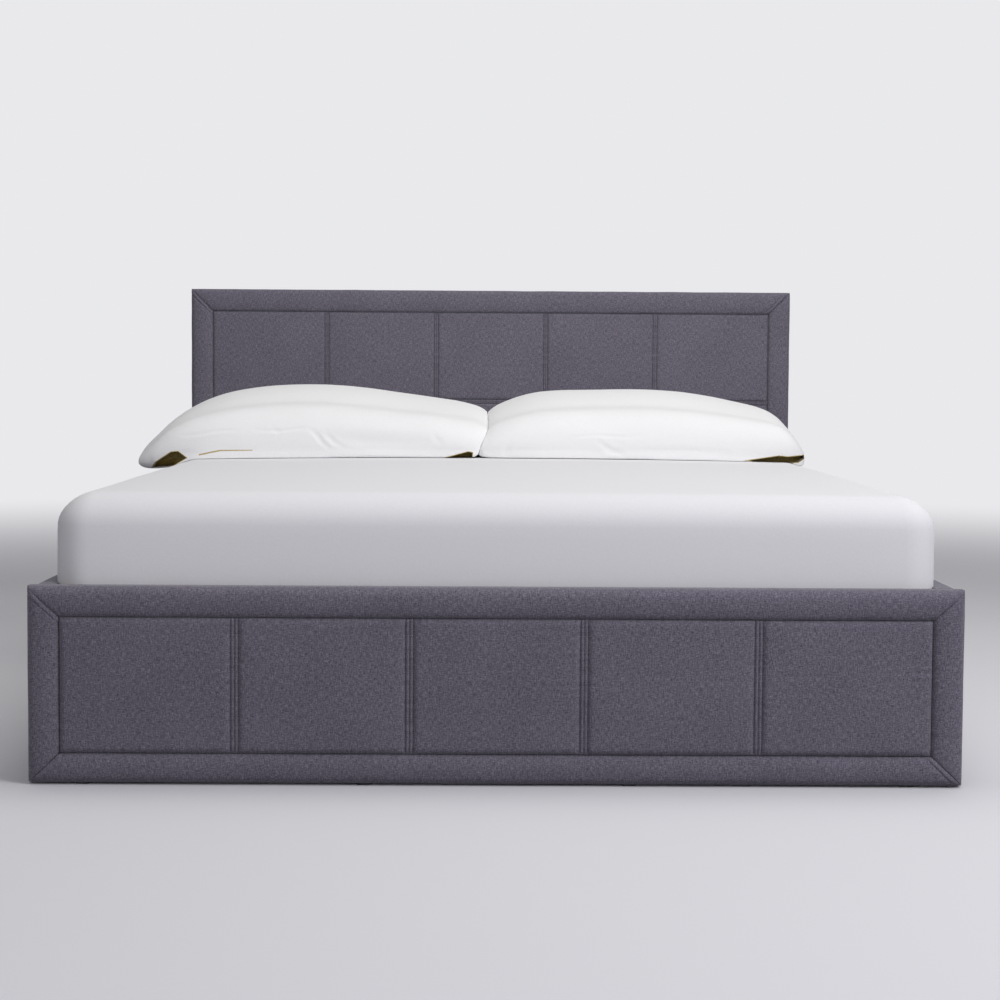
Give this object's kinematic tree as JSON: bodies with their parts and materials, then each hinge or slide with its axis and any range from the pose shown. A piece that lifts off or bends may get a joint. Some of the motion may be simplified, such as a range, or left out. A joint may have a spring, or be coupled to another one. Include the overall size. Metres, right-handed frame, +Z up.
{
  "type": "ottoman storage bed",
  "caption": "Upholstered bed with panelled headboard and footboard, whose slatted platform and mattress lift at the foot on arms and gas struts above a floored storage space.",
  "frame": {"origin": "on the floor, midway along the bed and midway across it, on the underside of the middle foot of the centre beam", "axes": "+Z up; +Y from the footboard to the headboard; +X to the right, seen from the foot"},
  "size_m": [1.64, 2.16, 0.912],
  "materials": {
    "board_fabric": "charcoal melange upholstery weave",
    "lining_cloth": "black lining cloth",
    "timber": "planed softwood and board",
    "floor_panel": "black faced hardboard",
    "beech_slat": "laminated slat, satin",
    "black_plastic": "moulded",
    "rubber_pad": "matt",
    "black_steel": "black powder coat",
    "zinc_steel": "zinc plated",
    "polished_rod": "ground and polished",
    "mattress_ticking": "quilted ticking",
    "white_cotton": "woven cotton percale",
    "webbing": "black webbing"
  },
  "bodies": {
    "frame": {"base_plate_screws": "zinc_steel", "beam_feet": "black_plastic", "bracket_bolts": "zinc_steel", "centre_beam": "timber", "corner_brackets": "black_steel", "floor_battens": "timber", "floor_board_1": "floor_panel", "floor_board_2": "floor_panel", "floor_board_3": "floor_panel", "floor_board_4": "floor_panel", "floor_glides": "black_plastic", "footboard_border": "board_fabric", "footboard_core": "timber", "footboard_lining": "lining_cloth", "footboard_pads": "board_fabric", "footboard_seam_bands": "board_fabric", "headboard_back_cloth": "lining_cloth", "headboard_border": "board_fabric", "headboard_core": "timber", "headboard_lower_pads": "board_fabric", "headboard_seam_bands": "board_fabric", "headboard_skirt": "timber", "headboard_upper_pads": "board_fabric", "lift_base_plate_left": "black_steel", "lift_base_plate_right": "black_steel", "pivot_studs": "zinc_steel", "platform_ledges": "timber", "rest_pads": "rubber_pad", "side_rail_core_left": "timber", "side_rail_core_right": "timber", "side_rail_pad_left": "board_fabric", "side_rail_pad_right": "board_fabric"},
    "platform": {"platform_side_tube_left": "black_steel", "platform_side_tube_right": "black_steel", "platform_head_tube": "black_steel", "platform_foot_tube": "black_steel", "platform_centre_tube": "black_steel", "upper_bracket_left": "black_steel", "upper_bracket_right": "black_steel", "bracket_pins": "zinc_steel", "slats_left": "beech_slat", "slats_right": "beech_slat", "slat_end_caps": "black_plastic", "slat_centre_caps": "black_plastic", "mattress_hoops": "black_steel", "pull_strap": "webbing", "mattress": "mattress_ticking", "fitted_sheet": "white_cotton", "pillow_left": "white_cotton", "pillow_right": "white_cotton"},
    "main_arm_left": {"main_arm_left": "black_steel", "strut_stud_left": "zinc_steel"},
    "main_arm_right": {"main_arm_right": "black_steel", "strut_stud_right": "zinc_steel"},
    "second_arm_left": {"second_arm_left": "black_steel"},
    "second_arm_right": {"second_arm_right": "black_steel"},
    "gas_cylinder_left": {"gas_cylinder_left": "black_steel"},
    "gas_cylinder_right": {"gas_cylinder_right": "black_steel"},
    "gas_rod_left": {"gas_rod_left": "polished_rod"},
    "gas_rod_right": {"gas_rod_right": "polished_rod"}
  },
  "joints": [
    {"name": "lift", "type": "hinge", "parent": "frame", "child": "main_arm_left", "pos_m": [-0.745, 0.634, 0.121], "axis": [1, 0, 0], "range_deg": [0, 55.5]},
    {"name": "platform_tilt", "type": "hinge", "parent": "main_arm_left", "child": "platform", "pos_m": [-0.745, 0.8922, 0.244], "axis": [1, 0, 0], "range_deg": [-91.51, 0]},
    {"name": "lift_right", "type": "hinge", "parent": "frame", "child": "main_arm_right", "pos_m": [0.745, 0.634, 0.121], "axis": [1, 0, 0], "range_deg": [0, 55.5]},
    {"name": "second_arm_left_swing", "type": "hinge", "parent": "frame", "child": "second_arm_left", "pos_m": [-0.736, 0.44, 0.1029], "axis": [1, 0, 0], "range_deg": [0, 44.69]},
    {"name": "strut_left_swing", "type": "hinge", "parent": "frame", "child": "gas_cylinder_left", "pos_m": [-0.716, 0.724, 0.065], "axis": [1, 0, 0], "range_deg": [0, 47.24]},
    {"name": "strut_left_extend", "type": "slide", "parent": "gas_cylinder_left", "child": "gas_rod_left", "axis": [0, 0.5807, 0.8141], "range_m": [0, 0.09505]},
    {"name": "second_arm_right_swing", "type": "hinge", "parent": "frame", "child": "second_arm_right", "pos_m": [0.736, 0.44, 0.1029], "axis": [1, 0, 0], "range_deg": [0, 44.69]},
    {"name": "strut_right_swing", "type": "hinge", "parent": "frame", "child": "gas_cylinder_right", "pos_m": [0.716, 0.724, 0.065], "axis": [1, 0, 0], "range_deg": [0, 47.24]},
    {"name": "strut_right_extend", "type": "slide", "parent": "gas_cylinder_right", "child": "gas_rod_right", "axis": [0, 0.5807, 0.8141], "range_m": [0, 0.09505]}
  ],
  "couplings": [
    {"joint": "platform_tilt", "follows": "lift", "ratio": -1.6486},
    {"joint": "lift_right", "follows": "lift", "ratio": 1},
    {"joint": "second_arm_left_swing", "follows": "lift", "ratio": 0.805},
    {"joint": "strut_left_swing", "follows": "lift", "ratio": 0.851},
    {"joint": "strut_left_extend", "follows": "lift", "m_per_rad": 0.0981},
    {"joint": "second_arm_right_swing", "follows": "lift", "ratio": 0.805},
    {"joint": "strut_right_swing", "follows": "lift", "ratio": 0.851},
    {"joint": "strut_right_extend", "follows": "lift", "m_per_rad": 0.0981}
  ]
}
